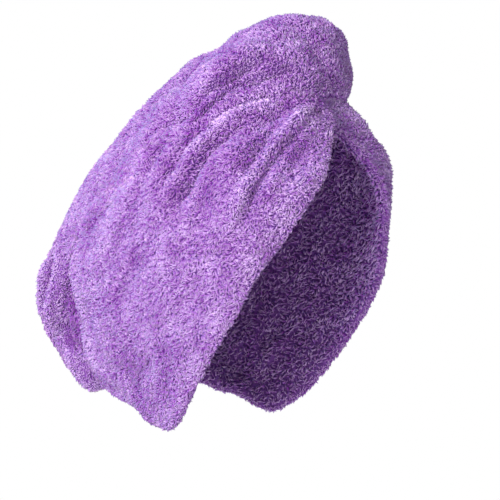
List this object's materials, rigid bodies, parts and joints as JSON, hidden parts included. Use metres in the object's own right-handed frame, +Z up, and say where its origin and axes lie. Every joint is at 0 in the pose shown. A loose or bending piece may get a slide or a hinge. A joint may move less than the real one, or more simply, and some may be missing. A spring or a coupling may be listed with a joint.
{
  "type": "hair turban towel",
  "caption": "Hair turban towel of deep-pile fleece in its worn shape: a hood round the head, with a twisted tail laid back over the crown and hooked to a button at the nape.",
  "frame": {"origin": "middle of the wearer's head, which the hood sits on", "axes": "+Z up, the wearer faces -Y with the chin a little raised, and the wearer's right is -X"},
  "size_m": [0.1635, 0.2212, 0.2504],
  "materials": {
    "fleece": "deep clumped microfibre pile",
    "button_plastic": "satin",
    "elastic": "woven elastic cord"
  },
  "bodies": {
    "root": {"hood": "fleece", "twisted_tail": "fleece", "button": "button_plastic", "button_loop": "elastic"}
  },
  "joints": []
}
